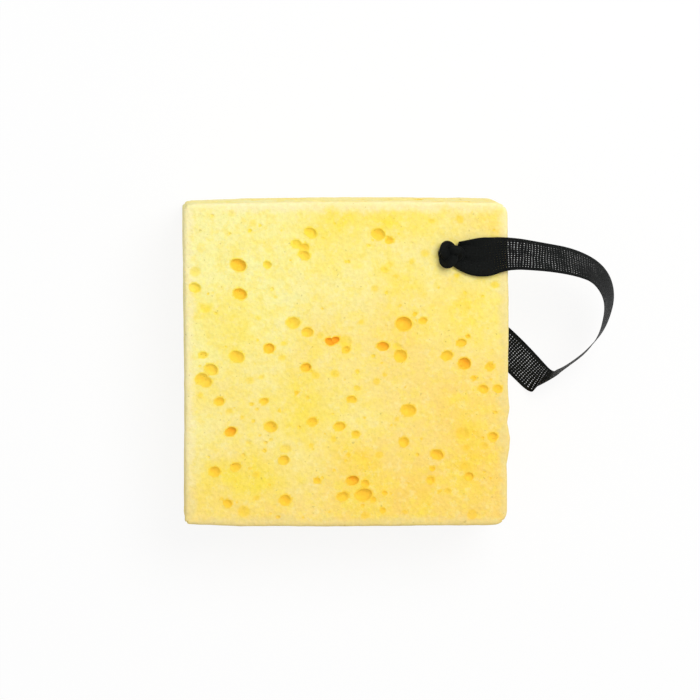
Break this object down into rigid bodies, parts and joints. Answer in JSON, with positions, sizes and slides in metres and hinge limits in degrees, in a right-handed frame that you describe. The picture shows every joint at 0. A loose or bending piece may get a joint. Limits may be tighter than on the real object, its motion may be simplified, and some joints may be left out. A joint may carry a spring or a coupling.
{
  "type": "bath sponge",
  "caption": "Square bath sponge of soft open foam, with a hanging loop of thin woven ribbon threaded through a hole near a corner and knotted.",
  "frame": {"origin": "centre of the back face, which the sponge lies on", "axes": "+Z through the thickness, out of the bubbled front face; +X towards the side that the ribbon leaves over; +Y towards the side nearest the hole"},
  "size_m": [0.1356, 0.1, 0.0395],
  "materials": {
    "foam": "soft open-celled foam, matt, with amber bubbles",
    "ribbon": "sheer woven ribbon, slightly shiny"
  },
  "bodies": {
    "root": {"sponge": "foam", "ribbon_loop": "ribbon", "ribbon_knot": "ribbon"}
  },
  "joints": []
}
